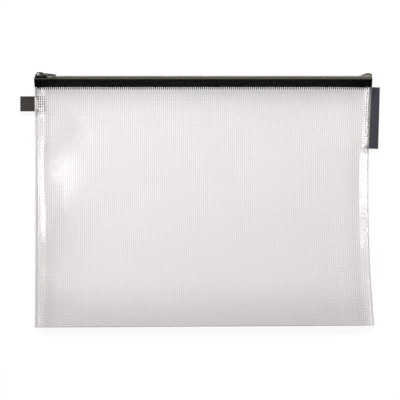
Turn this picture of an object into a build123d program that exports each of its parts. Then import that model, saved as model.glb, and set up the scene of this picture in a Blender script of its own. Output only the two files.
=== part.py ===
"""Zipped document wallet: one sheet of net-reinforced clear PVC, folded at the bottom and welded at its
sides, lying on its back.

+X runs to the right along the zip, +Y towards the zip, +Z up out of the front of the pouch.
The origin is on the face that the wallet lies on, near its middle. Sizes are in millimetres.
"""

import os
from math import atan, cos, degrees, radians, sin, tan

from build123d import *

os.makedirs("parts", exist_ok=True)

# The folded sheet and its side welds
sheet = 0.4  # thickness of the PVC
left_edge = -165.0  # the left edge, halfway up
pouch_width = 333.3  # left edge to right edge, halfway up
left_flare = 0.6  # how far the left corners stand out past the middle of that edge
right_flare_top = 3.7  # the same for the right edge's upper corner
right_flare_bottom = 6.0  # and for its lower corner
panel_bottom = -126.6  # the fold at its middle
panel_height = 240.6  # from the fold to the sheet's two top edges
bottom_skew = 1.0  # the fold falls by this at its left end and rises by it at its right end
fold_height = 8.0  # thickness of the pouch at the fold
side_weld = 3.0  # width of the flat weld along the sides
corner_radius = 8.0  # of the puffed part, seen from above
shoulder_radius = 6.5  # where the front turns down to the welds and the fold

# The net in the sheet
net = 0.15  # thickness of the reinforcing net
bond_gap = 0.05  # between the sheet and its net

# The zip
zip_lean = 16.0  # degrees by which the zip's outer face leans towards the viewer
tape_thickness = 0.6
tape_show = 6.4  # tape seen between the sheet's top edge and the fold beside the zip
tape_overlap = 1.8  # tape welded under the sheet's edge
tape_seat = 0.05  # between the front tape and the sheet above it
fold_radius = 0.6  # of the tape's middle line at its fold
fold_clearance = 0.3  # from the slider's side to the start of the fold
zip_end_gap = 0.3  # from the end of the zip to the end of the seam
coil_width = 1.5
coil_height = 1.5
coil_round = 0.5  # corner radius of the coil's section
cord_radius = 0.32
cord_clearance = 0.05
thread_radius = 0.1
thread_spacing = 0.7  # between the two rows of thread on a coil
thread_seat = 0.01  # thread stands this far off the coil

# The slider
slider_inset = 7.0  # from the left end of the seam to the slider's middle
slider_length = 12.0
mouth_flare = 0.45  # the slider's mouth is wider than its tail by this on each side
slider_corner = 1.6
wing = 0.9  # thickness of the slider's upper and lower plates
wing_round = 0.35
edge_round = 0.2  # on the bridge and the puller
rim = 0.6  # thickness of the rims along the slider's sides
run_clearance = 0.25  # between the slider and whatever runs through it
neck_width = 0.7
neck_length = 3.0
neck_inset = 0.6  # from the slider's mouth to its neck
bridge_offset = 1.2  # the bridge stands this far to the left of the slider's middle
bridge_width = 2.2
bridge_leg = 1.0
bridge_window = 5.0  # length of the window under the bridge
bridge_window_height = 2.0
bridge_crown = 0.8
bridge_round = 1.5
window_round = 0.5

# The puller
puller_length = 16.5  # from its pivot to its far end
puller_thickness = 1.0
puller_arm = 1.0
puller_end_width = 6.4
puller_end_bar = 1.3
puller_corner = 1.0
puller_window_corner = 0.6
puller_clearance = 0.75  # between the puller's arms and the bridge
puller_skew = 10.0  # degrees that the puller lies askew, towards the front
puller_eye_web = 0.3  # from the pivot to the start of the puller's window
pivot_rise = 1.25  # the pivot above the slider's upper plate
puller_rest_gap = 0.25  # between the resting puller and the end of the slider

# The grip tab in the left seam and the label in the right seam
ribbon = 0.45  # thickness of one layer of ribbon
ribbon_gap = 0.2  # between the two layers
seat_gap = 0.3  # between a ribbon's free part and the seam
slot_clearance = 0.3  # around a ribbon where it passes through the weld
tail_lift = 0.05  # between the trapped ribbon and the net below it
tab_width = 15.0
tab_length = 12.5  # from where it flexes to the middle of its fold
tab_drop = 10.4  # from the sheet's top edges to the tab
tab_tail = 12.0  # length trapped in the seam
label_height = 61.0
label_length = 6.2
label_drop = 2.3
label_tail = 6.0
label_turn = 1.6  # degrees that the label turns from upright, with the seam

# Places worked out from these
right_edge = left_edge + pouch_width
panel_top = panel_bottom + panel_height
middle_y = panel_bottom + panel_height / 2
outline_run_out = 5.0  # outlines are drawn this far past the sheet's top edges, then cut
outline_top = panel_top + outline_run_out
seam_left = left_edge - left_flare
seam_right = right_edge + right_flare_top

lean_sin = sin(radians(zip_lean))
lean_cos = cos(radians(zip_lean))
chain_half_gap = neck_width / 2 + run_clearance
fold_tangent = fold_radius * tan(radians(90 + zip_lean) / 2)
rim_inside = chain_half_gap + coil_width + run_clearance
slider_tail_width = 2 * (rim_inside + rim)
slider_width = slider_tail_width + 2 * mouth_flare
flat_half = slider_width / 2 + fold_clearance + fold_tangent
chain_y = panel_top + tape_show + flat_half * lean_sin
chain_z = sheet + tape_thickness / 2 + flat_half * lean_cos
tape_end_y = panel_top - tape_overlap
zip_left = seam_left + zip_end_gap
zip_length = seam_right - zip_end_gap - zip_left
mouth_height = chain_z + flat_half * lean_cos + tape_thickness / 2 + tape_seat + sheet

coil_top = tape_thickness / 2 + coil_height
upper_under = coil_top + 2 * thread_radius + thread_seat + run_clearance
upper_top = upper_under + wing
lower_top = -(tape_thickness / 2 + run_clearance)
pivot_height = upper_top + pivot_rise
slider_x = seam_left + slider_inset
pivot_x = slider_x - bridge_offset
puller_reach = bridge_offset + slider_length / 2
puller_tilt = degrees(atan((pivot_rise - puller_thickness / 2 - puller_rest_gap) / puller_reach))

ribbon_stack = 2 * ribbon + ribbon_gap
ribbon_z = sheet + bond_gap + net + tail_lift + ribbon_stack / 2
slot_height = ribbon_z + ribbon_stack / 2 + slot_clearance - sheet
seam_depth = side_weld + sheet + 2 * bond_gap + net
tab_slot_reach = seam_depth + left_flare + slot_clearance
label_slot_reach = seam_depth + right_flare_top + seat_gap + ribbon_stack + slot_clearance
tab_top = panel_top - tab_drop
tab_hinge_x = seam_left - seat_gap - ribbon_stack / 2
label_top = panel_top - label_drop
label_hinge_x = seam_right + seat_gap + ribbon_stack / 2

# The front's slope from the mouth down to the fold
top_plane = Plane(
    origin=(0, panel_top, mouth_height),
    x_dir=(1, 0, 0),
    z_dir=(0, fold_height - mouth_height, panel_height),
)

# Directions of the zip: across it towards the back, and out of its face
across = (0, lean_sin, -lean_cos)
outward = (0, lean_cos, lean_sin)
chain_plane = Plane(origin=(zip_left, chain_y, chain_z), x_dir=across, z_dir=(1, 0, 0))
slider_plane = Plane(origin=(slider_x, chain_y, chain_z), x_dir=(1, 0, 0), z_dir=outward)
bridge_plane = Plane(origin=(pivot_x, chain_y, chain_z), x_dir=(1, 0, 0), z_dir=(0, -lean_sin, lean_cos))
puller_plane = Plane(bridge_plane.from_local_coords((0, pivot_height, 0)), x_dir=(1, 0, 0), z_dir=outward)
puller_plane = Plane(puller_plane.location * Rotation(0, puller_tilt, -puller_skew))
label_plane = Plane(
    origin=(label_hinge_x, label_top, ribbon_z),
    x_dir=(cos(radians(label_turn)), -sin(radians(label_turn)), 0),
    z_dir=(-sin(radians(label_turn)), -cos(radians(label_turn)), 0),
)
tab_plane = Plane(origin=(tab_hinge_x, tab_top, ribbon_z), x_dir=(-1, 0, 0), z_dir=(0, -1, 0))


def pouch_outline(side, bottom):
    """Edges of the pouch seen from above, drawn in by side and by bottom, with its sides bowed inwards."""
    low_left = (seam_left + side, panel_bottom - bottom_skew + bottom)
    low_right = (right_edge + right_flare_bottom - side, panel_bottom + bottom_skew + bottom)
    high_left = (seam_left + side, outline_top)
    high_right = (seam_right - side, outline_top)
    Line(low_left, low_right)
    ThreePointArc(low_right, (right_edge - side, middle_y), high_right)
    Line(high_right, high_left)
    ThreePointArc(high_left, (left_edge + side, middle_y), low_left)


def puffed_block(depth):
    """The puffed pouch as a solid, taken in by depth: rounded corners at the fold and rounded shoulders."""
    with BuildPart() as block:
        with BuildSketch(Plane.XY.offset(depth)):
            with BuildLine():
                pouch_outline(side_weld + depth, depth)
            make_face()
        extrude(amount=mouth_height + sheet)
        split(bisect_by=top_plane.offset(-depth), keep=Keep.BOTTOM)
        fillet(block.edges().filter_by(Axis.Z).sort_by(Axis.Y)[:2], corner_radius - depth)
        rim_edges = block.faces().sort_by(Axis.Z)[-1].edges().sort_by(Axis.Y)[:-1]
        fillet(rim_edges, shoulder_radius - depth)
    return block.part


def ribbon_slots():
    """The room that the grip tab and the label take up where they pass through the welds."""
    with BuildPart() as slots:
        with BuildSketch(Plane((seam_left, tab_top, sheet))):
            with Locations((0, slot_clearance)):
                Rectangle(
                    2 * tab_slot_reach,
                    tab_width + 2 * slot_clearance,
                    align=(Align.CENTER, Align.MAX),
                )
        extrude(amount=slot_height)
        with BuildSketch(label_plane.offset(-slot_clearance)):
            with Locations((0, -ribbon_z + sheet)):
                Rectangle(
                    2 * label_slot_reach,
                    slot_height,
                    align=(Align.CENTER, Align.MIN),
                )
        extrude(amount=label_height + 2 * slot_clearance)
    return slots.part


# The sheet: its flat side welds, and the puffed pouch between them

with BuildPart() as pouch_sheet:
    with BuildSketch(Plane.XY):
        with BuildLine():
            pouch_outline(0, 0)
        make_face()
    extrude(amount=2 * sheet)
    add(puffed_block(0))
    add(puffed_block(sheet), mode=Mode.SUBTRACT)
    split(bisect_by=Plane.XZ.offset(-panel_top), keep=Keep.TOP)
    add(ribbon_slots(), mode=Mode.SUBTRACT)
pouch_sheet.part.label = "pouch_sheet"
export_step(pouch_sheet.part, "parts/pouch_sheet.step")

with BuildPart() as pouch_net:
    add(puffed_block(sheet + bond_gap))
    add(puffed_block(sheet + bond_gap + net), mode=Mode.SUBTRACT)
    split(bisect_by=Plane.XZ.offset(bond_gap - tape_end_y), keep=Keep.TOP)
    add(ribbon_slots(), mode=Mode.SUBTRACT)
pouch_net.part.label = "pouch_net"
export_step(pouch_net.part, "parts/pouch_net.step")

# The two halves of the zip: -1 is the half on the front of the pouch, 1 the half on its back.
# Under the sheet's edge, each tape is cut back at its ends to clear the shoulder or the weld.

for half, way, end_cut in (("front", -1, side_weld + shoulder_radius), ("back", 1, seam_depth)):
    coil_middle = (way * (chain_half_gap + coil_width / 2), tape_thickness / 2 + coil_height / 2)
    fold_y = chain_y + way * flat_half * lean_sin
    tape_run = fold_y - tape_end_y

    with BuildPart() as zip_tape:
        with BuildSketch(chain_plane):
            with BuildLine():
                FilletPolyline(
                    (way * chain_half_gap, 0),
                    (way * flat_half, 0),
                    (way * flat_half - tape_run * lean_sin, -tape_run * lean_cos),
                    radius=fold_radius,
                )
            trace(line_width=tape_thickness)
        extrude(amount=zip_length)
        with BuildSketch(Plane.XY):
            with Locations((zip_left, panel_top), (zip_left + zip_length, panel_top)):
                Rectangle(2 * end_cut, 2 * tape_overlap, align=(Align.CENTER, Align.MAX))
        extrude(amount=mouth_height, mode=Mode.SUBTRACT)
    zip_tape.part.label = f"{half}_zip_tape"
    export_step(zip_tape.part, f"parts/{half}_zip_tape.step")

    with BuildPart() as zip_coil:
        with BuildSketch(chain_plane):
            with Locations(coil_middle):
                RectangleRounded(coil_width, coil_height, coil_round)
                Circle(cord_radius + cord_clearance, mode=Mode.SUBTRACT)
        extrude(amount=zip_length)
    zip_coil.part.label = f"{half}_zip_coil"
    export_step(zip_coil.part, f"parts/{half}_zip_coil.step")

    with BuildPart() as coil_cord:
        with BuildSketch(chain_plane):
            with Locations(coil_middle):
                Circle(cord_radius)
        extrude(amount=zip_length)
    coil_cord.part.label = f"{half}_coil_cord"
    export_step(coil_cord.part, f"parts/{half}_coil_cord.step")

    with BuildPart() as coil_stitching:
        with BuildSketch(chain_plane):
            with Locations((coil_middle[0], coil_top + thread_radius + thread_seat)):
                with GridLocations(thread_spacing, 0, 2, 1):
                    Circle(thread_radius)
        extrude(amount=zip_length)
    coil_stitching.part.label = f"{half}_coil_stitching"
    export_step(coil_stitching.part, f"parts/{half}_coil_stitching.step")


def wing_outline():
    """Edges of a slider plate seen from above: wide at its mouth on the left, narrower at its tail."""
    Polyline(
        (-slider_length / 2, -slider_width / 2),
        (0, -slider_width / 2),
        (slider_length / 2, -slider_tail_width / 2),
        (slider_length / 2, slider_tail_width / 2),
        (0, slider_width / 2),
        (-slider_length / 2, slider_width / 2),
        close=True,
    )


with BuildPart() as bridge_arch:
    with BuildSketch(bridge_plane) as arch:
        with Locations((0, upper_top - wing / 2)):
            Rectangle(
                bridge_window + 2 * bridge_leg,
                wing / 2 + bridge_window_height + bridge_crown,
                align=(Align.CENTER, Align.MIN),
            )
        fillet(arch.vertices().group_by(Axis.Y)[-1], bridge_round)
        with Locations((0, upper_top + bridge_window_height / 2)):
            RectangleRounded(bridge_window, bridge_window_height, window_round, mode=Mode.SUBTRACT)
    extrude(amount=bridge_width / 2, both=True)
    fillet(bridge_arch.edges().filter_by(GeomType.CIRCLE), edge_round)

with BuildPart() as slider_body:
    with BuildSketch(slider_plane.offset(upper_under)) as upper_wing:
        with BuildLine():
            wing_outline()
        make_face()
        fillet(upper_wing.vertices(), slider_corner)
    extrude(amount=wing)
    fillet(slider_body.faces().sort_by(Axis((0, 0, 0), outward))[-1].edges(), wing_round)
    with BuildSketch(slider_plane.offset(-lower_top)) as rims:
        with BuildLine():
            wing_outline()
        make_face()
        fillet(rims.vertices(), slider_corner)
        Rectangle(2 * slider_length, 2 * rim_inside, mode=Mode.SUBTRACT)
    extrude(amount=upper_under + lower_top)
    with BuildSketch(slider_plane.offset(lower_top - wing)) as lower_wing:
        with BuildLine():
            wing_outline()
        make_face()
        fillet(lower_wing.vertices(), slider_corner)
    extrude(amount=wing)
    with BuildSketch(slider_plane.offset(lower_top)):
        with Locations((-slider_length / 2 + neck_inset, 0)):
            Rectangle(neck_length, neck_width, align=(Align.MIN, Align.CENTER))
    extrude(amount=upper_under - lower_top)
    add(bridge_arch.part)
slider_body.part.label = "slider_body"
export_step(slider_body.part, "parts/slider_body.step")

with BuildPart() as puller:
    eye_half = bridge_width / 2 + puller_clearance
    with BuildSketch(puller_plane.offset(-puller_thickness / 2)) as frame:
        with BuildLine():
            Polyline(
                (0, -eye_half - puller_arm),
                (puller_length, -puller_end_width / 2),
                (puller_length, puller_end_width / 2),
                (0, eye_half + puller_arm),
                close=True,
            )
        make_face()
        fillet(frame.vertices().group_by(Axis.X)[-1], puller_corner)
    extrude(amount=puller_thickness)
    flats = puller.faces().sort_by(Axis(puller_plane.origin, puller_plane.z_dir))
    fillet(flats[0].edges() + flats[-1].edges(), edge_round)
    with BuildSketch(puller_plane.offset(-puller_thickness / 2)) as window:
        with BuildLine():
            Polyline(
                (puller_eye_web, -eye_half),
                (puller_length - puller_end_bar, -puller_end_width / 2 + puller_arm),
                (puller_length - puller_end_bar, puller_end_width / 2 - puller_arm),
                (puller_eye_web, eye_half),
                close=True,
            )
        make_face()
        fillet(window.vertices().group_by(Axis.X)[-1], puller_window_corner)
    extrude(amount=puller_thickness, mode=Mode.SUBTRACT)
    with BuildSketch(Plane(puller_plane.origin, x_dir=puller_plane.x_dir, z_dir=puller_plane.y_dir)):
        Circle(puller_thickness / 2)
    extrude(amount=eye_half + puller_arm, both=True)
puller.part.label = "puller"
export_step(puller.part, "parts/puller.step")

# Ribbon folded over and trapped in a seam: its free loop and its trapped tail

for ribbon_name, free_name, plane, height, reach, tail in (
    ("grip_tab", "loop", tab_plane, tab_width, tab_length, tab_tail),
    ("side_label", "flap", label_plane, label_height, label_length, label_tail),
):
    with BuildPart() as ribbon_free:
        with BuildSketch(plane):
            with Locations((reach / 2, 0)):
                SlotCenterToCenter(reach, ribbon_stack)
            with Locations(((reach + ribbon_stack) / 2, 0)):
                SlotCenterToCenter(reach - ribbon_stack, ribbon_gap, mode=Mode.SUBTRACT)
        extrude(amount=height)
    ribbon_free.part.label = f"{ribbon_name}_{free_name}"
    export_step(ribbon_free.part, f"parts/{ribbon_name}_{free_name}.step")

    with BuildPart() as ribbon_tail:
        with BuildSketch(plane):
            with Locations((-ribbon_stack / 2 - seat_gap, 0)):
                Rectangle(tail, ribbon_stack, align=(Align.MAX, Align.CENTER))
        extrude(amount=height)
    ribbon_tail.part.label = f"{ribbon_name}_tail"
    export_step(ribbon_tail.part, f"parts/{ribbon_name}_tail.step")
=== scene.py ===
# %% [markdown]
# # A zipped document wallet of net-reinforced clear PVC
# The wallet is one sheet of clear film with a white net laid into it. The sheet is folded at the bottom,
# welded at both sides, and closed along its top by a black coil zip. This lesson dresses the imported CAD
# model of it: soft pieces are made again as surfaces, rigid ones keep their CAD shape and get a finish.
# Lengths in the code are millimetres, as on a drawing, and become metres when a mesh is made.

import bpy
import numpy as np
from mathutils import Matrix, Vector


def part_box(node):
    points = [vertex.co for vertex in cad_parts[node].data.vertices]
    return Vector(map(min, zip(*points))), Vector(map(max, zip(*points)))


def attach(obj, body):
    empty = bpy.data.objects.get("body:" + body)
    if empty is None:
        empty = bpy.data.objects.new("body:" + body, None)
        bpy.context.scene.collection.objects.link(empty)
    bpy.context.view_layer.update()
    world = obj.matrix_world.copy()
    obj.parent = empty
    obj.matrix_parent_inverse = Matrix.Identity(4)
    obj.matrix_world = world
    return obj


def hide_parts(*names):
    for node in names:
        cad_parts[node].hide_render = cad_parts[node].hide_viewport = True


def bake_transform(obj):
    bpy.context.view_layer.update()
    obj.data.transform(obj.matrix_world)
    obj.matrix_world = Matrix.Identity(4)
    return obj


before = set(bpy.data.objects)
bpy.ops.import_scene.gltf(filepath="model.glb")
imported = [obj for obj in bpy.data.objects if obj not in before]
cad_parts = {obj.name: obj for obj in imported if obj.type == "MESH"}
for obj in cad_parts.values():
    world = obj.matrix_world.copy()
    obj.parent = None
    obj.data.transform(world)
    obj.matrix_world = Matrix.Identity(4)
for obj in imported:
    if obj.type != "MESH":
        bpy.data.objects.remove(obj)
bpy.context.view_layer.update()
print("CAD nodes:", sorted(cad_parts))

# %% [markdown]
# ## Small helpers
# A surface here is a grid of points: a formula of two parameters gives every point at once as a numpy
# array, and one function turns any such grid into a mesh. That keeps each shape readable as its formula.
# Colours are picked as sRGB hex values from a swatch, while shaders work in linear light.

# %% Turn grids of points into meshes
MILLIMETRE = 0.001


def make_surface(name, grids, map_mm=None, tube=False):
    """Joins grids of points (count, rows, columns, xyz) into one mesh of quads.

    Each point is linked to its neighbours along the row and along the column. A tube also links the last
    column to the first, and its two ends are closed by one face each. map_mm holds the same grid laid
    flat, in millimetres, and becomes the UV map. Border edges are marked sharp, so that a thickness added
    later has a crisp rim.
    """
    grids = np.asarray(grids, float)
    grids = grids.reshape((-1,) + grids.shape[-3:])
    count, rows, columns, _ = grids.shape
    index = np.arange(count * rows * columns).reshape(count, rows, columns)
    if tube:
        index = np.concatenate([index, index[:, :, :1]], axis=2)
    corners = (index[:, :-1, :-1], index[:, :-1, 1:], index[:, 1:, 1:], index[:, 1:, :-1])
    faces = np.stack(corners, axis=-1).reshape(-1, 4).tolist()
    if tube:
        faces += index[:, 0, -2::-1].tolist() + index[:, -1, :-1].tolist()
    mesh = bpy.data.meshes.new(name)
    mesh.from_pydata(grids.reshape(-1, 3) * MILLIMETRE, [], faces)
    mesh.polygons.foreach_set("use_smooth", np.ones(len(mesh.polygons), bool))
    if map_mm is not None:
        used = np.empty(len(mesh.loops), np.int32)
        mesh.loops.foreach_get("vertex_index", used)
        flat = np.asarray(map_mm, float).reshape(-1, 2)[used]
        mesh.uv_layers.new(name="flat_mm").data.foreach_set("uv", flat.ravel())
    mesh.update()
    edge_of = np.empty(len(mesh.loops), np.int32)
    mesh.loops.foreach_get("edge_index", edge_of)
    border = np.bincount(edge_of, minlength=len(mesh.edges)) == 1
    mesh.attributes.new("sharp_edge", "BOOLEAN", "EDGE").data.foreach_set("value", border)
    piece = bpy.data.objects.new(name, mesh)
    bpy.context.scene.collection.objects.link(piece)
    print(f"{name}: {len(mesh.vertices)} points, {len(mesh.polygons)} faces")
    return piece


# %% Carry a small section along many paths
def carry_section(paths, side, up, half_width, half_height, corners):
    """A flattened tube: each path point is the centre of an ellipse of corners points.

    A corner lies at half_width times the cosine along side plus half_height times the sine along up.
    """
    turn = np.linspace(0, 2 * np.pi, corners, endpoint=False)
    wide = half_width * np.cos(turn)[:, None] * side[..., None, :]
    high = half_height * np.sin(turn)[:, None] * up[..., None, :]
    return paths[..., None, :] + wide + high


# %% Colours and shader nodes
def linear(hex_colour):
    """sRGB hex to linear RGBA: a channel is divided by 12.92 when dark, else follows the 2.4 power curve."""
    channels = np.array([int(hex_colour[i:i + 2], 16) for i in (1, 3, 5)]) / 255
    curve = ((channels + 0.055) / 1.055) ** 2.4
    return (*np.where(channels <= 0.04045, channels / 12.92, curve).tolist(), 1.0)


def add_node(material, kind, values=None, links=None, **settings):
    """Adds a node: settings are its own options, values go on its inputs, links are sockets it reads."""
    node = material.node_tree.nodes.new(kind)
    for option, choice in settings.items():
        setattr(node, option, choice)
    for socket, value in (values or {}).items():
        node.inputs[socket].default_value = value
    for socket, source in (links or {}).items():
        material.node_tree.links.new(source, node.inputs[socket])
    return node


def new_material(name):
    """An empty material with only its output node, which is returned with it."""
    material = bpy.data.materials.new(name)
    material.use_nodes = True
    material.node_tree.nodes.clear()
    return material, add_node(material, "ShaderNodeOutputMaterial")


# %% [markdown]
# ## Camera, floor and light
# The photograph looks straight down on the wallet through a long lens, so one pixel is one millimetre.
# The table is white paper: to the camera it glows a little, which keeps it white as a catalogue picture
# has it, and the rest of it is a plain matt surface that still takes the wallet's shadow. The light is a
# plain room with one long soft box beyond the zip, which shades the front towards the fold, and two small
# ones to the left and right, whose reflections are the white streaks on the film's shoulders. Above those
# two hang grey cards that only the gloss can see: they darken the film beside its streaks and show its form.
# A small window in the left card gives the soft patch on the crease at the left.

# %% Camera straight above
VIEW_WIDTH = 400.0
CAMERA_HEIGHT = 2000.0
SENSOR = 36.0

camera_data = bpy.data.cameras.new("overhead_camera")
camera_data.sensor_width = SENSOR
camera_data.lens = SENSOR * CAMERA_HEIGHT / VIEW_WIDTH
camera = bpy.data.objects.new("overhead_camera", camera_data)
camera.location = (0, 0, CAMERA_HEIGHT * MILLIMETRE)
bpy.context.scene.collection.objects.link(camera)
bpy.context.scene.camera = camera
bpy.context.scene.view_settings.view_transform = "Standard"
# Light crosses two layers of film, each with two faces, on its way down and again on its way up, and between
# the white strands and the white table it goes to and fro many times.
bpy.context.scene.cycles.transparent_max_bounces = 32
bpy.context.scene.cycles.diffuse_bounces = 10
bpy.context.scene.cycles.max_bounces = 16
print("lens", camera_data.lens, "mm")

# %% White paper floor
FLOOR_REACH = 4000.0
FLOOR_GLOW = 0.90

reach = np.array([-FLOOR_REACH, FLOOR_REACH])
floor_points = np.stack([*np.meshgrid(reach, reach), np.full((2, 2), -0.05)], axis=-1)
floor = make_surface("paper_floor", floor_points)


def seen_by_camera(material):
    """A socket: 1 for what the camera sees, straight or in a reflection, and 0 for light that falls."""
    rays = add_node(material, "ShaderNodeLightPath")
    seen = rays.outputs["Is Camera Ray"]
    for way in ("Is Glossy Ray", "Is Transmission Ray"):
        either = add_node(material, "ShaderNodeMath", links={0: seen, 1: rays.outputs[way]},
                          operation="MAXIMUM")
        seen = either.outputs[0]
    return seen


paper, paper_out = new_material("matt white paper")
glow_share = add_node(paper, "ShaderNodeMath", {1: FLOOR_GLOW}, {0: seen_by_camera(paper)},
                      operation="MULTIPLY")
matt = add_node(paper, "ShaderNodeBsdfDiffuse", {"Color": linear("#fbfbfb")})
glow = add_node(paper, "ShaderNodeEmission", {"Color": (1, 1, 1, 1), "Strength": 1.0})
paper_mix = add_node(paper, "ShaderNodeMixShader", links={0: glow_share.outputs[0], 1: matt.outputs[0],
                                                          2: glow.outputs[0]})
paper.node_tree.links.new(paper_mix.outputs[0], paper_out.inputs["Surface"])
floor.data.materials.append(paper)

# %% Room light and soft boxes
ROOM_LIGHT = 0.38
SOFT_BOXES = {
    # name: (place in mm, length and height in mm, watts)
    "left_box": ((-1100, 14, 620), (70, 700), 1.8),
    "right_box": ((1100, 55, 620), (74, 800), 2.2),
    "zip_side_box": ((0, 1500, 560), (1700, 300), 60.5),
    "left_window": ((-290, 165, 1000), (210, 210), 0.30),
}

world = bpy.data.worlds.new("bright_room")
bpy.context.scene.world = world
world.use_nodes = True
world.node_tree.nodes.clear()
# The room's walls are white to the camera and in reflections, and light the wallet only softly.
shown = seen_by_camera(world)
walls = add_node(world, "ShaderNodeMapRange", {"To Min": ROOM_LIGHT, "To Max": 1.0}, {"Value": shown})
room = add_node(world, "ShaderNodeBackground", {"Color": (1, 1, 1, 1)}, {"Strength": walls.outputs[0]})
add_node(world, "ShaderNodeOutputWorld", links={"Surface": room.outputs[0]})
for box_name, (place, (long, tall), watts) in SOFT_BOXES.items():
    lamp = bpy.data.lights.new(box_name, "AREA")
    lamp.shape = "RECTANGLE"
    lamp.size = long * MILLIMETRE
    lamp.size_y = tall * MILLIMETRE
    lamp.energy = watts
    box = bpy.data.objects.new(box_name, lamp)
    box.location = np.array(place) * MILLIMETRE
    box.rotation_euler = (-box.location).to_track_quat("-Z", "Y").to_euler()
    bpy.context.scene.collection.objects.link(box)
print("soft boxes:", list(SOFT_BOXES))

# %% Grey cards above the side boxes
CARD_HEIGHT = 1000.0
CARD_NEAR, CARD_FAR = 240.0, 880.0  # the card's reach from the middle
CARD_DARK = 450.0  # where it has faded to its darkest
CARD_DARKEST = 0.05
CARD_HALF_LENGTH = 700.0

# The card fades from the white of the room at its inner edge to nearly black, so its reflection has no hard
# edge.
fading, fading_out = new_material("grey card, white to black")
place = add_node(fading, "ShaderNodeTexCoord")
split = add_node(fading, "ShaderNodeSeparateXYZ", links={"Vector": place.outputs["Object"]})
off_middle = add_node(fading, "ShaderNodeMath", links={0: split.outputs["X"]}, operation="ABSOLUTE")
grey = add_node(fading, "ShaderNodeMapRange",
                {"From Min": CARD_NEAR * MILLIMETRE, "From Max": CARD_DARK * MILLIMETRE,
                 "To Min": 1.0, "To Max": CARD_DARKEST}, {"Value": off_middle.outputs[0]})
card_light = add_node(fading, "ShaderNodeEmission", {"Color": (1, 1, 1, 1)}, {"Strength": grey.outputs[0]})
fading.node_tree.links.new(card_light.outputs[0], fading_out.inputs["Surface"])
for side_name, way in (("left", -1), ("right", 1)):
    card_reach = np.array([-CARD_HALF_LENGTH, CARD_HALF_LENGTH])
    card_x, card_y = np.meshgrid(way * np.array([CARD_NEAR, CARD_FAR]), card_reach)
    card_points = np.stack([card_x, card_y, np.full((2, 2), CARD_HEIGHT)], axis=-1)
    card = make_surface(f"{side_name}_grey_card", card_points)
    card.data.materials.append(fading)
    card.visible_camera = False
    card.visible_diffuse = False
    card.visible_shadow = False
    card.visible_transmission = False

# %% [markdown]
# ## The shape of the sheet
# The sheet starts at the back's top edge, runs down the back, turns round the fold and comes up the front.
# Its sides are welded flat, and between the welds the front stands up like a slack pillow: steep just
# inside the welds, highest where the zip holds it open, and falling towards the fold. The film, its net
# and the tapes under its edge must all follow this one shape, so it is one function of two parameters:
# how far across, from 0 at the left edge to 1 at the right, and how far along from the middle of the fold,
# in millimetres, below zero on the back and above zero on the front.

# %% Edges of the sheet, seen from above
low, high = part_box("pouch_sheet")
SHEET = 0.4  # thickness of the film
TOP = high.y / MILLIMETRE - 1.5  # the sheet is trimmed a little short of the CAD's edge
LEFT = low.x / MILLIMETRE
RIGHT_CORNER = high.x / MILLIMETRE
MOUTH = high.z / MILLIMETRE
FOLD_LINE = -126.6
FOLD_SKEW = 1.0
WELD = 2.0
FILM_WIDTH = 336.0  # of the sheet laid flat
UPPER, HALFWAY = 119.0, -6.3  # heights where the side edges were measured, besides the fold

# Each side edge is a parabola through its upper end, its middle and its lower end.
right_bow = np.polyfit((UPPER, HALFWAY, FOLD_LINE + FOLD_SKEW),
                       (RIGHT_CORNER - 2.3, RIGHT_CORNER - 6.0, RIGHT_CORNER), 2)
left_bow = np.polyfit((UPPER, HALFWAY, FOLD_LINE - FOLD_SKEW), (LEFT + 0.3, LEFT + 1.0, LEFT + 0.5), 2)
print("width halfway up:", round(np.polyval(right_bow, HALFWAY) - np.polyval(left_bow, HALFWAY), 1), "mm")


def ease(value):
    """0 below 0, 1 above 1, and a smooth S between them: three squares less two cubes."""
    t = np.clip(value, 0, 1)
    return t * t * (3 - 2 * t)


# %% Height of the front, and the whole folded sheet
SAG, SAG_REACH = 1.9, 6.5  # the quick sag just below the zip
SLACK, SLACK_REACH = 1.5, 60.0  # the slow sag over the middle
BULGE = 0.9
FALL, FALL_START, FALL_RUN = 3.8, -80.0, 46.0  # from the front down to the fold
LEFT_SHOULDER = 6.0  # the width of the rise from the left weld
RIGHT_SHOULDER, RIGHT_TIGHTER = 14.0, 6.5  # the right one at the zip, and how much narrower it gets below
LEFT_PINCH, RIGHT_PINCH = 13.0, 3.0  # how far up the pinches are
CREASE, CREASE_X, CREASE_Y = 1.5, -133.0, 25.0  # the crease at the left: its height and its middle
HOLLOW, HOLLOW_X = 1.2, -146.0  # the hollow beside it
PUCKER = 0.05
TAB_CAUGHT = (87.6, 104.6)  # where the weld holds the grip tab
LABEL_CAUGHT = (50.4, 113.7)  # and the label
CAUGHT_RISE = 1.35


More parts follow.
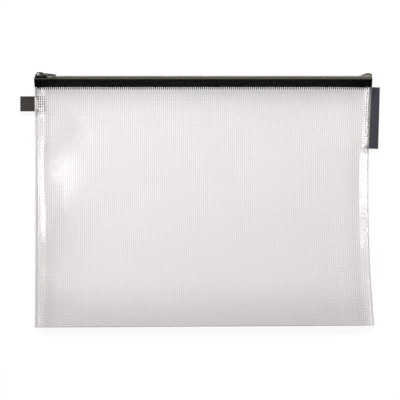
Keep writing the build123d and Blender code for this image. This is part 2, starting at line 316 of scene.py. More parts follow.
def front_height(x, y):
    """Height of the front's outer face: a middle height that follows y, times a rise from either weld.

    Down the middle it sags below the zip, bulges a little and sinks along a parabola to the fold. The rise
    is a slack shoulder, one less a falling exponential of the distance from the weld, and slackest below the
    zip's right end. Long puckers and one pinch run along each weld, waves cross the middle, and a shallow
    crease at the left, beside a hollow, leans towards the light. A ribbon caught in a weld thickens it.
    """
    from_left = np.clip(x - np.polyval(left_bow, y) - 1.4 * WELD, 0, None)
    from_right = np.clip(np.polyval(right_bow, y) - x - 0.6 * WELD, 0, None)
    below_zip = ease((TOP - y) / 55)
    sag = SAG * (1 - np.exp(-(TOP - y) / SAG_REACH)) + SLACK * (1 - np.exp(-(TOP - y) / SLACK_REACH))
    bulge = BULGE * ease((TOP - y) / 170)
    fall = FALL * (np.clip(FALL_START - y, 0, FALL_RUN + 2) / FALL_RUN) ** 2
    middle = MOUTH - 0.45 - sag + bulge - fall
    rise = 1.0
    for distance, shoulder, phase, pinch in (
        (from_left, LEFT_SHOULDER, 0.4, LEFT_PINCH),
        (from_right, RIGHT_SHOULDER - RIGHT_TIGHTER * below_zip, 2.1, RIGHT_PINCH),
    ):
        pucker = PUCKER * np.sin(2 * np.pi * y / 47 + phase) - PUCKER * np.exp(-((y - pinch) / 5) ** 2)
        rise = rise * (1 - np.exp(-distance / shoulder)) * (1 + pucker * below_zip * np.exp(-distance / 11))
    waves = 0.09 * np.sin(x / 24 + y / 55 + 1.0) + 0.05 * np.sin(x / 41 - y / 19 + 0.3)
    down = (y - CREASE_Y) / 31
    crease = -CREASE * np.exp(-((x - CREASE_X) / 14) ** 2) * down * np.exp((1 - down ** 2) / 2)
    crease = crease - HOLLOW * np.exp(-((x - HOLLOW_X) / 16) ** 2 - down ** 4)
    caught = 0.0
    for (bottom, top), side in ((TAB_CAUGHT, x < 0), (LABEL_CAUGHT, x > 0)):
        caught = caught + ease((top - y) / 1.2) * ease((y - bottom) / 1.2) * side
    weld_height = 2 * SHEET + CAUGHT_RISE * caught
    return weld_height + rise * (middle - weld_height + below_zip * (waves + crease))


STRIP = 244.0  # half the sheet's length, from the middle of the fold to a top edge
ROUND = 4.0  # part of that in the turn of the fold


def sheet_point(across, along):
    """A point of the sheet's outer face.

    Round the fold it follows half an ellipse as tall as the pouch is there. Beyond the turn, y runs evenly
    up to the top edge, on the front at front_height and on the back just off the table.
    """
    across, along = np.broadcast_arrays(np.asarray(across, float), np.asarray(along, float))
    fold_x = np.polyval(left_bow, FOLD_LINE)
    fold_x = fold_x + across * (np.polyval(right_bow, FOLD_LINE) - fold_x)
    fold_y = FOLD_LINE + FOLD_SKEW * fold_x / 170
    depth = 0.5 * front_height(fold_x, fold_y + 2)
    turn = np.clip(along / ROUND, -1, 1) * np.pi / 2
    past = np.clip((np.abs(along) - ROUND) / (STRIP - ROUND), 0, 1)
    y = fold_y + depth + past * (TOP - fold_y - depth) - depth * np.cos(turn)
    left = np.polyval(left_bow, y)
    x = left + across * (np.polyval(right_bow, y) - left)
    tall = front_height(x, np.maximum(y, fold_y + 2))
    z = 0.5 * tall * (1 + np.sin(turn))
    return np.stack([x, y, z], axis=-1)


def sheet_frame(across, along):
    """Unit vectors at a point of the sheet, from small steps: across it, along it, and out of its face."""
    def direction(step_across, step_along):
        step = sheet_point(across + step_across, along + step_along)
        step = step - sheet_point(across - step_across, along - step_along)
        return step / np.linalg.norm(step, axis=-1, keepdims=True)

    sideways, lengthways = direction(1e-4, 0), direction(0, 0.05)
    outward = np.cross(sideways, lengthways)
    return sideways, lengthways, outward / np.linalg.norm(outward, axis=-1, keepdims=True)


print("front height at the middle:", round(float(front_height(0.0, 0.0)), 2), "mm")

# %% [markdown]
# ## The clear film
# The film is calendered PVC: soft, clear and shiny, with the faintest warm grey. It could be one solid
# of glass-like plastic, but light would have to bend through it many times, and the picture would be
# dark and noisy. A film this thin hardly bends light, so it is a see-through shader mixed with gloss: the
# share of gloss follows the angle, as on any clear plastic. Along the sides the welding bar has pressed
# both layers into one band, which is a little cloudy, so the surface carries an attribute that says where
# the weld is.

# %% Surface of the film
sides = np.linspace(0, 1, 133)
sides = 0.35 * sides + 0.65 * (0.5 - 0.5 * np.cos(np.pi * sides))
turn_rows = np.linspace(-ROUND, ROUND, 13)
run_rows = ROUND + (STRIP - ROUND) * np.linspace(0, 1, 81)[1:] ** 1.15
lengths = np.concatenate([-run_rows[::-1], turn_rows, run_rows])
along_grid, across_grid = np.meshgrid(lengths, sides, indexing="ij")

film_map = np.stack([across_grid * FILM_WIDTH, along_grid], axis=-1)
film = make_surface("pouch_film", sheet_point(across_grid, along_grid), film_map)
# The right weld is the narrower and the clearer one. Along the fold a thin line of the film is tinted darker,
# painted shade for the shadow at the fold's edge.
edge_distance = FILM_WIDTH * np.minimum(across_grid, 1.8 * (1 - across_grid))
weld_share = (1 - ease((edge_distance - WELD + 0.6) / 1.0)) * np.where(across_grid < 0.5, 1.0, 0.35)
fold_painted_shade = 1 - ease((np.abs(along_grid) - 1.8) / 1.6)
for mark, share in (("weld", weld_share), ("fold", fold_painted_shade)):
    film.data.attributes.new(mark, "FLOAT", "POINT").data.foreach_set("value", share.ravel())
thickness = film.modifiers.new("film_thickness", "SOLIDIFY")
thickness.thickness = SHEET * MILLIMETRE
thickness.offset = -1

# %% Finish of the film
# Calendered clear PVC: glossy with a slight orange-peel, almost colourless, cloudy where it is welded.
pvc, pvc_out = new_material("calendered clear PVC film")
flat = add_node(pvc, "ShaderNodeUVMap", uv_map="flat_mm")
# The rollers leave a faint unevenness of about 9 mm, and the crossways strands below lift the film every
# 2.5 mm, which breaks its highlights into fine streaks.
peel = add_node(pvc, "ShaderNodeTexNoise", {"Scale": 1 / 9, "Detail": 1.0}, {"Vector": flat.outputs[0]})
ribbed = add_node(pvc, "ShaderNodeTexWave", {"Scale": 2 * np.pi / 20 / 2.5}, {"Vector": flat.outputs[0]},
                  bands_direction="Y")
uneven = add_node(pvc, "ShaderNodeMath", {1: 0.5}, {0: ribbed.outputs[1], 2: peel.outputs[0]},
                  operation="MULTIPLY_ADD")
relief = add_node(pvc, "ShaderNodeBump", {"Strength": 0.07, "Distance": 0.6 * MILLIMETRE},
                  {"Height": uneven.outputs[0]})
weld_mark = add_node(pvc, "ShaderNodeAttribute", attribute_name="weld")
haze = add_node(pvc, "ShaderNodeMapRange", {"To Min": 0.012, "To Max": 0.8},
                {"Value": weld_mark.outputs["Fac"]})
# The share of gloss, the same from both sides of the film: 4.4 % face on, and all of it edge on.
facing = add_node(pvc, "ShaderNodeLayerWeight", {"Blend": 0.5}, {"Normal": relief.outputs[0]})
grazing = add_node(pvc, "ShaderNodeMath", {1: 5.0}, {0: facing.outputs["Facing"]}, operation="POWER")
gloss_share = add_node(pvc, "ShaderNodeMath", {1: 0.956, 2: 0.044}, {0: grazing.outputs[0]},
                       operation="MULTIPLY_ADD")
gloss = add_node(pvc, "ShaderNodeBsdfGlossy", {"Color": (1, 1, 1, 1), "Roughness": 0.11},
                 {"Normal": relief.outputs[0]})
# The film takes a little light each time it is crossed, and more seen edge on. The darker tint along the fold
# is painted shade.
fold_shade_mark = add_node(pvc, "ShaderNodeAttribute", attribute_name="fold")
tint = add_node(pvc, "ShaderNodeMix", {"A": linear("#fcfbfb"), "B": linear("#f3f2f2")},
                {"Factor": fold_shade_mark.outputs["Fac"]}, data_type="RGBA")
body = add_node(pvc, "ShaderNodeMix", {"B": linear("#7a7878")},
                {"Factor": grazing.outputs[0], "A": tint.outputs["Result"]}, data_type="RGBA")
clear = add_node(pvc, "ShaderNodeBsdfTransparent", links={"Color": body.outputs["Result"]})
cloud = add_node(pvc, "ShaderNodeBsdfDiffuse", {"Color": linear("#d6d3d3")})
clouded = add_node(pvc, "ShaderNodeMixShader", links={0: haze.outputs[0], 1: clear.outputs[0],
                                                      2: cloud.outputs[0]})
coated = add_node(pvc, "ShaderNodeMixShader", links={0: gloss_share.outputs[0], 1: clouded.outputs[0],
                                                     2: gloss.outputs[0]})
pvc.node_tree.links.new(coated.outputs[0], pvc_out.inputs["Surface"])
film.data.materials.append(pvc)

# %% [markdown]
# ## The net in the film
# White polyester strands laid in a grid stop the film from tearing. Over the white table they look a
# little darker than the gaps, and over anything dark the gaps show as rows of dark dots. A painted pattern
# would not cross over itself where front and back are seen together, so every strand is a real flattened
# thread inside the film: the lengthways ones run from the back's top edge round the fold to the front's,
# the crossways ones lie just under them.

# %% Strands that follow the sheet
CELL_WIDE, CELL_TALL = 2.05, 2.5
WARP_HALF, WEFT_HALF = 0.48, 0.33  # half the width of a strand
STRAND_FLAT = 0.10  # half its thickness
WARP_DEPTH, WEFT_DEPTH = 0.16, 0.25  # below the film's outer face
NET_MARGIN = WELD + 0.4
NET_START = 0.3  # the strands' ends, below the sheet's top edge
TOP_STRAND = 3.1  # the first crossways strand, below the same edge
WARP_OFFSET = 0.3  # from the back's lengthways strands to the front's
WEFT_OFFSET = 0.9  # the same for the crossways ones


def net_drift(across, along):
    """How far the lengthways strands stray from straight lines, in millimetres: slow waves.

    Front and back stray alike. If they did not, their overlap would drift and show as large pale patches.
    """
    reach = np.abs(along)
    stray = 0.5 * np.sin(reach / 61 + 3 * across) + 0.35 * np.sin(reach / 23 + 9 * across + 1.7)
    return stray + WARP_OFFSET * (along > 0)


lanes = np.arange(NET_MARGIN + 0.35, FILM_WIDTH - NET_MARGIN, CELL_WIDE) / FILM_WIDTH
rows = np.concatenate([-run_rows[::-2], turn_rows[::2], run_rows[1::2]])
rows = np.clip(np.unique(rows), -STRIP + NET_START, STRIP - NET_START)
warp_across, warp_along = np.meshgrid(lanes, rows, indexing="ij")
# Beside the welds the strands stray less.
warp_free = np.minimum(1, 8 * warp_across * (1 - warp_across))
warp_across = warp_across + net_drift(warp_across, warp_along) / FILM_WIDTH * warp_free
warp_side, _, warp_out = sheet_frame(warp_across, warp_along)
warp_path = sheet_point(warp_across, warp_along) - WARP_DEPTH * warp_out
warp = carry_section(warp_path, warp_side, warp_out, WARP_HALF, STRAND_FLAT, 4)

levels = np.arange(STRIP - TOP_STRAND, -STRIP + TOP_STRAND, -CELL_TALL)
columns = np.linspace(NET_MARGIN / FILM_WIDTH, 1 - NET_MARGIN / FILM_WIDTH, 47)
weft_along, weft_across = np.meshgrid(levels, columns, indexing="ij")
weft_free = np.minimum(1, (STRIP - np.abs(weft_along)) / 30)
weft_stray = 0.35 * np.sin(7 * weft_across + np.abs(weft_along) / 40) * weft_free
weft_along = weft_along + np.where(weft_along > 0, weft_stray, -weft_stray - WEFT_OFFSET)
_, weft_run, weft_out = sheet_frame(weft_across, weft_along)
weft_path = sheet_point(weft_across, weft_along) - WEFT_DEPTH * weft_out
weft = carry_section(weft_path, weft_run, weft_out, WEFT_HALF, STRAND_FLAT, 4)
print(len(lanes), "strands along,", len(levels), "across")


# %% One piece from both sets of strands
def join_pieces(name, pieces):
    """Puts several meshes into one piece, in their order."""
    with bpy.context.temp_override(active_object=pieces[0], selected_editable_objects=pieces):
        bpy.ops.object.join()
    pieces[0].name = name
    pieces[0].data.name = name
    return pieces[0]


strand_sets = [make_surface("warp", warp, tube=True), make_surface("weft", weft, tube=True)]
net = join_pieces("pouch_net_strands", strand_sets)
# A flattened thread has flat faces, so they aren't smoothed.
net.data.polygons.foreach_set("use_smooth", np.zeros(len(net.data.polygons), bool))
print("net faces:", len(net.data.polygons))

# %% Finish of the net
# Spun white polyester: matt, slightly see-through to light, a touch warmer than the paper below.
polyester, polyester_out = new_material("laid white polyester net")
place = add_node(polyester, "ShaderNodeTexCoord")
# Fibre bundles vary every few millimetres along a strand.
slub = add_node(polyester, "ShaderNodeTexNoise", {"Scale": 1 / (4 * MILLIMETRE), "Detail": 2.0},
                {"Vector": place.outputs["Object"]})
shade = add_node(polyester, "ShaderNodeValToRGB", links={"Fac": slub.outputs[0]})
shade.color_ramp.elements[0].color = linear("#fdfbfb")
shade.color_ramp.elements[1].color = linear("#fffefe")
threads = add_node(polyester, "ShaderNodeBsdfPrincipled", {"Roughness": 0.6, "Specular IOR Level": 0.2},
                   {"Base Color": shade.outputs[0]})
through = add_node(polyester, "ShaderNodeBsdfTranslucent", links={"Color": shade.outputs[0]})
strands = add_node(polyester, "ShaderNodeMixShader", {0: 0.12},
                   {1: threads.outputs[0], 2: through.outputs[0]})
polyester.node_tree.links.new(strands.outputs[0], polyester_out.inputs["Surface"])
net.data.materials.append(polyester)

# %% Set the sheet on the frame
for piece, node, slot in ((film, "pouch_sheet", "clear_pvc"), (net, "pouch_net", "white_net")):
    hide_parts(node)
    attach(piece, "pouch")

# %% [markdown]
# ## The zip's tapes
# A coil zip is two woven tapes, each with a coil sewn along one edge. On the wallet each tape lies under
# the sheet's edge, runs on towards the zip and folds over, so that the closed zip faces up and away from
# the pouch. A tape is one section, made of a flat, a small round fold and a run, carried along the zip;
# the end of its run follows the film above it, down the shoulders at both ends.

# %% Directions and places of the zip
ZIP_LEAN = np.radians(16)
TAPE = 0.6
CHAIN = np.array([0, 121.639, 5.022])
OUTWARD = np.array([0, np.cos(ZIP_LEAN), np.sin(ZIP_LEAN)])
TO_FRONT = np.array([0, -np.sin(ZIP_LEAN), np.cos(ZIP_LEAN)])
FLAT_HALF = 4.496
FOLD_RADIUS = 0.6
ZIP_LEFT, ZIP_RIGHT = (round(float(v.x) / MILLIMETRE, 2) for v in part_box("front_zip_tape"))
TAPE_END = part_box("front_zip_tape")[0].y / MILLIMETRE - 2.4
HUMP, HUMP_START, HUMP_RUN = 3.9, 156.8, 10.5  # at the right end: its height, start and length
HUMP_DROP, DROP_START, DROP_RUN = 1.2, 169.5, 3.0  # the same for the part that goes down again
print("zip from", ZIP_LEFT, "to", ZIP_RIGHT, "tape ends at", round(TAPE_END, 2))


def zip_point(x, to_front, outward):
    """A point of the zip: so far along it, so far across it to the front, and so far out of its face.

    The right end, past the slider's last place, is pinched by the weld, and its back half stands out in a
    hump: an ease up and a part of it down again. The front half stays low, so the puller passes over it.
    """
    parts = (np.asarray(value, float)[..., None] for value in (x, to_front, outward))
    x, to_front, outward = np.broadcast_arrays(*parts)
    hump = HUMP * ease((x - HUMP_START) / HUMP_RUN) - HUMP_DROP * ease((x - DROP_START) / DROP_RUN)
    outward = outward + hump * np.clip((-0.8 - to_front) / 2.6, 0, 1)
    return CHAIN + x * np.array([1, 0, 0]) + to_front * TO_FRONT + outward * OUTWARD


# %% Surface of a tape
FLAT_START = 0.6  # the tape's edge under its coil, from the zip's middle
FILM_GAP = 0.05  # between the tape and the film over it


def tape_points(way, x, along):
    """Middle face of a tape: flat from the chain to the fold, round the fold, then straight to the sheet.

    along runs from 0 to 1 over the flat, from 1 to 2 over the fold and from 2 to 3 over the run. way is 1
    for the front tape and -1 for the back one. The run slopes straight to the film's edge and then lies half
    a tape below the film; both of its far corners are cut back to the edge.
    """
    bend = np.pi / 2 + way * ZIP_LEAN
    tangent = FOLD_RADIUS * np.tan(bend / 2)
    flat = FLAT_START + np.clip(along, 0, 1) * (FLAT_HALF - tangent - FLAT_START)
    angle = np.clip(along - 1, 0, 1) * bend
    across = way * (flat + FOLD_RADIUS * np.sin(angle))
    points = zip_point(x, across, FOLD_RADIUS * (np.cos(angle) - 1))
    corner = 1 - ease((np.minimum(x - ZIP_LEFT, ZIP_RIGHT - x) - 2.5) / 1.5)
    end_y = TAPE_END + (TOP + 0.4 - TAPE_END) * corner
    y = points[..., 1] + np.clip(along - 2, 0, 1) * (end_y - points[..., 1])
    under_y = np.minimum(y, TOP)
    left = np.polyval(left_bow, under_y)
    under = sheet_point((x - left) / (np.polyval(right_bow, under_y) - left), way * (STRIP - TOP + under_y))
    under_z = under[..., 2] - way * (SHEET + FILM_GAP + TAPE / 2)
    drop = np.clip((points[..., 1] - y) / (points[..., 1] - TOP), 0, 1)
    return np.stack([points[..., 0], y, points[..., 2] + drop * (under_z - points[..., 2])], axis=-1)


tape_rows = np.concatenate([np.linspace(0, 1, 5), np.linspace(1, 2, 8)[1:], np.linspace(2, 3, 11)[1:]])
tape_columns = np.linspace(ZIP_LEFT, ZIP_RIGHT, 140)
tape_along, tape_x = np.meshgrid(tape_rows, tape_columns, indexing="ij")
tape_mm = np.interp(tape_along, (0, 1, 2, 3), (0, 3.1, 4.3, 12.5))
tapes = {}
for half, way in (("front", 1), ("back", -1)):
    points = tape_points(way, tape_x, tape_along)
    tape_map = np.stack([tape_x, tape_mm], axis=-1)
    tape = make_surface(f"{half}_tape_cloth", points[:, ::way], tape_map[:, ::way])
    weave_thickness = tape.modifiers.new("tape_thickness", "SOLIDIFY")
    weave_thickness.thickness = TAPE * MILLIMETRE
    weave_thickness.offset = 0
    tapes[half] = tape

# %% Finish of the tapes
# Black twill-woven polyester: dull, with a soft bloom when seen along the cloth. Its colour carries lighter
# specks, painted highlights where single threads catch the light. The real threads are 0.4 mm apart, too fine
# for the picture, so they are drawn 1.1 mm apart.
twill, twill_out = new_material("twill-woven black polyester tape")
flat = add_node(twill, "ShaderNodeUVMap", uv_map="flat_mm")
lean = add_node(twill, "ShaderNodeMapping", {"Rotation": (0, 0, np.radians(63))}, {"Vector": flat.outputs[0]})
ribs = add_node(twill, "ShaderNodeTexWave", {"Scale": 2 * np.pi / 20 / 1.1, "Distortion": 1.2, "Detail": 2.0,
                                             "Detail Scale": 1.5}, {"Vector": lean.outputs[0]})
specks = add_node(twill, "ShaderNodeTexNoise", {"Scale": 1 / 1.3, "Detail": 2.0}, {"Vector": flat.outputs[0]})
cloth = add_node(twill, "ShaderNodeMath", links={0: ribs.outputs[1], 1: specks.outputs[0]},
                 operation="MULTIPLY")
# The lighter end of this ramp paints highlights on single threads.
shade = add_node(twill, "ShaderNodeValToRGB", links={"Fac": cloth.outputs[0]})
shade.color_ramp.elements[0].position = 0.32
shade.color_ramp.elements[0].color = linear("#010101")
shade.color_ramp.elements[1].position = 0.56
shade.color_ramp.elements[1].color = linear("#292826")
raised = add_node(twill, "ShaderNodeBump", {"Strength": 0.4, "Distance": 0.3 * MILLIMETRE},
                  {"Height": cloth.outputs[0]})
# The flat beside the coil is painted lighter and browner, a painted sheen for the glancing light on that face
# of the closed zip.
split = add_node(twill, "ShaderNodeSeparateXYZ", links={"Vector": flat.outputs[0]})
painted_sheen_band = add_node(twill, "ShaderNodeMapRange", {"From Min": 4.0, "From Max": 3.2},
                  {"Value": split.outputs["Y"]})
selvedge_and_painted_sheen = add_node(twill, "ShaderNodeMix", {"B": linear("#423f38")},
                {"Factor": painted_sheen_band.outputs[0], "A": shade.outputs[0]}, data_type="RGBA")
woven = add_node(twill, "ShaderNodeBsdfPrincipled", {"Roughness": 0.8, "Specular IOR Level": 0.02,
                                                     "Sheen Weight": 0.01, "Sheen Roughness": 0.4,
                                                     "Sheen Tint": linear("#cfc8bd")},
                 {"Base Color": selvedge_and_painted_sheen.outputs["Result"], "Normal": raised.outputs[0]})
twill.node_tree.links.new(woven.outputs[0], twill_out.inputs["Surface"])
for half, tape in tapes.items():
    tape.data.materials.append(twill)
    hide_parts(f"{half}_zip_tape")
    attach(tape, "pouch")

# %% [markdown]
# ## The zip's coils and their stitching
# Each tape carries a coil of nylon line, flattened so that its heads face the other coil, half a turn out
# of step with it. Two rows of thread pass over every turn and sew it to the tape, and a filler cord runs
# inside. A coil is a helix with an oval section: the angle goes round once for each turn while the point
# moves along the zip, and a round line is carried along that path.

# %% Surfaces of the coils
COIL_PITCH = 1.3
LINE = 0.25  # radius of the nylon line
HEAD, HEEL = 0.12, 2.1  # the coil's reach across its tape, from the zip's middle
COIL_LOW, COIL_HIGH = 0.3, 1.8
STEPS = 10

turns = int((ZIP_RIGHT - ZIP_LEFT - 2) / COIL_PITCH)
angle = np.linspace(0, 2 * np.pi * turns, turns * STEPS + 1)
coils = {}
for half, way in (("front", 1), ("back", -1)):
    x = ZIP_LEFT + 1 + COIL_PITCH * (angle / (2 * np.pi) + (0.5 if way < 0 else 0))
    across = (HEAD + HEEL) / 2 + ((HEEL - HEAD) / 2 - LINE) * np.cos(angle)
    out = (COIL_LOW + COIL_HIGH) / 2 + ((COIL_HIGH - COIL_LOW) / 2 - LINE) * np.sin(angle)
    path = zip_point(x, way * across, out)
    run = np.gradient(path, axis=0)
    run /= np.linalg.norm(run, axis=-1, keepdims=True)
    inward = np.cross(run, np.array([1.0, 0, 0]))
    inward /= np.linalg.norm(inward, axis=-1, keepdims=True)
    line = carry_section(path, inward, np.cross(run, inward), LINE, LINE, 5)
    coils[half] = make_surface(f"{half}_coil_line", line, tube=True)

# %% Surfaces of the stitching and the filler cords
CORD = 0.3  # radius of a filler cord
STITCH_ROWS = np.array([[1.0], [1.7]])  # the two rows, from the zip's middle
STITCH_LIFT, STITCH_BUMP = 1.84, 0.07  # the thread's height over the tape, and its bump over each turn
THREAD_WIDE, THREAD_TALL = 0.13, 0.1  # half the width and height of the flattened thread

stitch_steps = np.linspace(ZIP_LEFT + 1, ZIP_LEFT + 1 + turns * COIL_PITCH, 4 * turns + 1)
cord_steps = np.linspace(ZIP_LEFT + 0.5, ZIP_RIGHT - 0.5, 90)
stitchings, cords = {}, {}
for half, way in (("front", 1), ("back", -1)):
    step_angle = 2 * np.pi * (stitch_steps - ZIP_LEFT - 1) / COIL_PITCH
    lift = STITCH_LIFT + STITCH_BUMP * np.cos(step_angle - np.pi / 2)
    path = zip_point(stitch_steps[None], way * STITCH_ROWS, lift[None])
    side, up = np.broadcast_to(TO_FRONT, path.shape), np.broadcast_to(OUTWARD, path.shape)
    thread_tube = carry_section(path, side, up, THREAD_WIDE, THREAD_TALL, 5)
    stitchings[half] = make_surface(f"{half}_stitch_thread", thread_tube, tube=True)
    path = zip_point(cord_steps, way * (HEAD + HEEL) / 2, (COIL_LOW + COIL_HIGH) / 2)
    side, up = np.broadcast_to(TO_FRONT, path.shape), np.broadcast_to(OUTWARD, path.shape)
    cord_tube = carry_section(path, side, up, CORD, CORD, 8)
    cords[half] = make_surface(f"{half}_filler_cord", cord_tube, tube=True)

# %% Finishes of the coils and threads
# Drawn nylon line: brown-black, semi-gloss, a little worn on its heads. Its colours here are a much lighter
# warm grey, painted sheen for the glancing light along the zip's face.
nylon, nylon_out = new_material("drawn black nylon line")
place = add_node(nylon, "ShaderNodeTexCoord")
wear = add_node(nylon, "ShaderNodeTexNoise", {"Scale": 1 / (6 * MILLIMETRE), "Detail": 3.0},
                {"Vector": place.outputs["Object"]})
shade = add_node(nylon, "ShaderNodeValToRGB", links={"Fac": wear.outputs[0]})
shade.color_ramp.elements[0].color = linear("#7a756b")
shade.color_ramp.elements[1].color = linear("#9d978c")
drawn = add_node(nylon, "ShaderNodeBsdfPrincipled", {"Roughness": 0.35, "IOR": 1.53},
                 {"Base Color": shade.outputs[0]})
nylon.node_tree.links.new(drawn.outputs[0], nylon_out.inputs["Surface"])

# Twisted black polyester thread: dull, with a fine slanting twist drawn at 0.8 mm so that it shows.
thread, thread_out = new_material("twisted black polyester thread")
place = add_node(thread, "ShaderNodeTexCoord")
lean = add_node(thread, "ShaderNodeMapping", {"Rotation": (0, 0, np.radians(35))},
                {"Vector": place.outputs["Object"]})
twist = add_node(thread, "ShaderNodeTexWave", {"Scale": 2 * np.pi / 20 / (0.8 * MILLIMETRE)},
                 {"Vector": lean.outputs[0]})
shade = add_node(thread, "ShaderNodeValToRGB", links={"Fac": twist.outputs[1]})
shade.color_ramp.elements[0].color = linear("#161616")
shade.color_ramp.elements[1].color = linear("#343230")
twisted = add_node(thread, "ShaderNodeBsdfPrincipled", {"Roughness": 0.7, "Sheen Weight": 0.2},
                   {"Base Color": shade.outputs[0]})
thread.node_tree.links.new(twisted.outputs[0], thread_out.inputs["Surface"])

for half in ("front", "back"):
    for piece, node, slot, finish in ((coils[half], "zip_coil", "zip_coil", nylon),
                                      (stitchings[half], "coil_stitching", "zip_thread", thread),
                                      (cords[half], "coil_cord", "zip_thread", thread)):
        piece.data.materials.append(finish)
        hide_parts(f"{half}_{node}")
        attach(piece, "pouch")
print(turns, "turns on each coil")

# %% [markdown]
# ## The slider and its puller
# Both are small zinc castings, and their CAD shapes are right, so they only need their finishes: the slider
# has a dark gunmetal plating, the puller a paler satin nickel, both with soft random marks, some brighter.

# %% Finishes of the castings
for node_name, title, dark, bright, rough in (
    ("slider_body", "gunmetal-plated zinc casting", "#0e0e0d", "#333230", 0.24),
    ("puller", "satin nickel-plated zinc casting", "#2b2a29", "#6a6865", 0.24),
):
    metal, metal_out = new_material(title)
    place = add_node(metal, "ShaderNodeTexCoord")
    # Tumbling before plating leaves soft marks of about 2 mm.
    marks = add_node(metal, "ShaderNodeTexNoise", {"Scale": 1 / (2 * MILLIMETRE), "Detail": 4.0},
                     {"Vector": place.outputs["Object"]})
    shade = add_node(metal, "ShaderNodeValToRGB", links={"Fac": marks.outputs[0]})
    shade.color_ramp.elements[0].position = 0.3
    shade.color_ramp.elements[0].color = linear(dark)
    shade.color_ramp.elements[1].position = 0.75
    shade.color_ramp.elements[1].color = linear(bright)
    dulled = add_node(metal, "ShaderNodeMapRange", {"To Min": rough - 0.08, "To Max": rough + 0.12},
                      {"Value": marks.outputs[0]})
    dents = add_node(metal, "ShaderNodeBump", {"Strength": 0.15, "Distance": 0.2 * MILLIMETRE},
                     {"Height": marks.outputs[0]})
    plated = add_node(metal, "ShaderNodeBsdfPrincipled", {"Metallic": 1.0},
                      {"Base Color": shade.outputs[0], "Roughness": dulled.outputs[0],
                       "Normal": dents.outputs[0]})
    metal.node_tree.links.new(plated.outputs[0], metal_out.inputs["Surface"])
    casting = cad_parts[node_name]
    casting.data.materials.clear()
    casting.data.materials.append(metal)
print("castings finished")

# %% [markdown]
# ## The grip tab and the side label
# Each is one strip of ribbon folded in half, with its two ends caught in the side weld and its fold
# standing out of it. So each is one surface: a path that comes out of the weld in the lower layer, turns
# round the fold and goes back in the upper layer, carried across the ribbon's width.

# %% Surface of a folded ribbon
RIBBON = 0.45
LAYER = 0.325  # from the middle of the two layers to the middle of one
RIBBON_Z = 1.2


def folded_ribbon(name, corner, outwards, down, inside, outside, width):
    """A folded strip: along it, out in the lower layer, round a half circle and back in the upper layer.

    corner is the upper end of the seam line, outwards and down are its unit directions, inside and outside
    are the reaches of the strip to either side of that line. The layers stand apart a little in the middle
    of the part outside, as ribbon does beside a soft fold.
    """
    turn = np.linspace(-np.pi / 2, np.pi / 2, 9)
    straight = np.concatenate([np.linspace(-inside, 0, 7), np.linspace(0, outside - LAYER, 12)[1:]])
    reach = np.concatenate([straight, outside - LAYER + LAYER * np.cos(turn[1:-1]), straight[::-1]])
    layer = np.full(straight.size, LAYER)
    lift = np.concatenate([-layer, LAYER * np.sin(turn[1:-1]), layer])
    loose = np.sin(np.pi * np.clip(reach / outside, 0, 1)) ** 2
    lift = lift * (1 + 0.5 * loose)
    span = np.linspace(0, width, 17)
    points = np.array([*corner, RIBBON_Z]) + reach[:, None, None] * np.array([*outwards, 0])
    points = points + span[None, :, None] * np.array([*down, 0]) + lift[:, None, None] * np.array([0, 0, 1.0])
    length = np.concatenate([[0], np.cumsum(np.hypot(np.diff(reach), np.diff(lift)))])
    map_mm = np.stack(np.broadcast_arrays(span[None, :], length[:, None]), axis=-1)
    piece = make_surface(name, points, map_mm)
    layers = piece.modifiers.new("ribbon_thickness", "SOLIDIFY")
    layers.thickness = RIBBON * MILLIMETRE
    layers.offset = 0
    return piece


TAB_CORNER, TAB_WIDTH = (-166.45, 103.6), 15.0
LABEL_CORNER, LABEL_WIDTH = (172.88, 112.7), 61.5
LABEL_TURN = np.radians(1.6)  # the label turns with the weld
TAB_REACH, LABEL_REACH = (12.55, 13.0), (6.85, 6.7)  # inside and outside the weld

tab_out, tab_down = (-1, 0), (0, -1)
label_out = (np.cos(LABEL_TURN), -np.sin(LABEL_TURN))
label_down = (-np.sin(LABEL_TURN), -np.cos(LABEL_TURN))
tab = folded_ribbon("grip_tab_ribbon", TAB_CORNER, tab_out, tab_down, *TAB_REACH, TAB_WIDTH)
label = folded_ribbon("side_label_ribbon", LABEL_CORNER, label_out, label_down, *LABEL_REACH, LABEL_WIDTH)

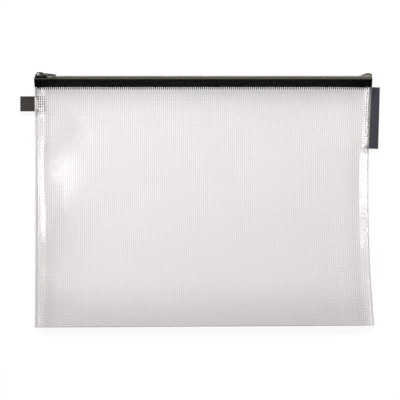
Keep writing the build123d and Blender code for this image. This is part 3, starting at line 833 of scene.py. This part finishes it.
# %% Finishes of the ribbons
# Grosgrain ribbon has cross ribs about 0.9 mm apart, drawn here at 1.3 mm so that they show, and a tighter,
# darker selvedge. The label is satin-woven: smoother, with fine lengthways lines.
for piece, title, dark, bright, selvedge, rib_mm, turned, width in (
    (tab, "olive-grey grosgrain ribbon", "#2b2824", "#443f38", "#1e1b17", 1.3, 90, TAB_WIDTH),
    (label, "slate satin-woven label", "#2f2e36", "#434249", "#27262d", 1.0, 0, LABEL_WIDTH),
):
    ribbon, ribbon_out = new_material(title)
    flat = add_node(ribbon, "ShaderNodeUVMap", uv_map="flat_mm")
    lean = add_node(ribbon, "ShaderNodeMapping", {"Rotation": (0, 0, np.radians(turned))},
                    {"Vector": flat.outputs[0]})
    ribs = add_node(ribbon, "ShaderNodeTexWave",
                    {"Scale": 2 * np.pi / 20 / rib_mm, "Distortion": 0.6, "Detail": 2.0},
                    {"Vector": lean.outputs[0]})
    fibres = add_node(ribbon, "ShaderNodeTexNoise", {"Scale": 1 / 1.1, "Detail": 3.0},
                      {"Vector": flat.outputs[0]})
    cloth = add_node(ribbon, "ShaderNodeMath", links={0: ribs.outputs[1], 1: fibres.outputs[0]},
                     operation="MULTIPLY")
    shade = add_node(ribbon, "ShaderNodeValToRGB", links={"Fac": cloth.outputs[0]})
    shade.color_ramp.elements[0].position = 0.1
    shade.color_ramp.elements[0].color = linear(dark)
    shade.color_ramp.elements[1].position = 0.65
    shade.color_ramp.elements[1].color = linear(bright)
    split = add_node(ribbon, "ShaderNodeSeparateXYZ", links={"Vector": flat.outputs[0]})
    off_middle = add_node(ribbon, "ShaderNodeMath", {1: width / 2}, {0: split.outputs["X"]},
                          operation="SUBTRACT")
    off_middle = add_node(ribbon, "ShaderNodeMath", links={0: off_middle.outputs[0]}, operation="ABSOLUTE")
    edge = add_node(ribbon, "ShaderNodeMapRange", {"From Min": width / 2 - 1.4, "From Max": width / 2 - 0.3},
                    {"Value": off_middle.outputs[0]})
    selvedge_and_painted_sheen = add_node(ribbon, "ShaderNodeMix", {"B": linear(selvedge)},
                    {"Factor": edge.outputs[0], "A": shade.outputs[0]}, data_type="RGBA")
    raised = add_node(ribbon, "ShaderNodeBump", {"Strength": 0.5, "Distance": 0.3 * MILLIMETRE},
                      {"Height": cloth.outputs[0]})
    woven = add_node(ribbon, "ShaderNodeBsdfPrincipled", {"Roughness": 0.7, "Specular IOR Level": 0.12,
                                                          "Sheen Weight": 0.05, "Sheen Roughness": 0.5},
                     {"Base Color": selvedge_and_painted_sheen.outputs["Result"], "Normal": raised.outputs[0]})
    ribbon.node_tree.links.new(woven.outputs[0], ribbon_out.inputs["Surface"])
    piece.data.materials.append(ribbon)

# %% Set the ribbons on the frame
TAB_SEAM, LABEL_SEAM = (-166.45, 96.1), (171.998, 81.212)  # where the record's two flex joints are

for piece, nodes, slot, body, seam, away in (
    (tab, ("grip_tab_loop", "grip_tab_tail"), "grip_ribbon", "grip_tab", TAB_SEAM, tab_out),
    (label, ("side_label_flap", "side_label_tail"), "woven_label", "side_label", LABEL_SEAM, label_out),
):
    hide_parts(*nodes)
    seam = np.array(seam)
    away = np.array(away)
    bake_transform(piece)
print("ribbons set")
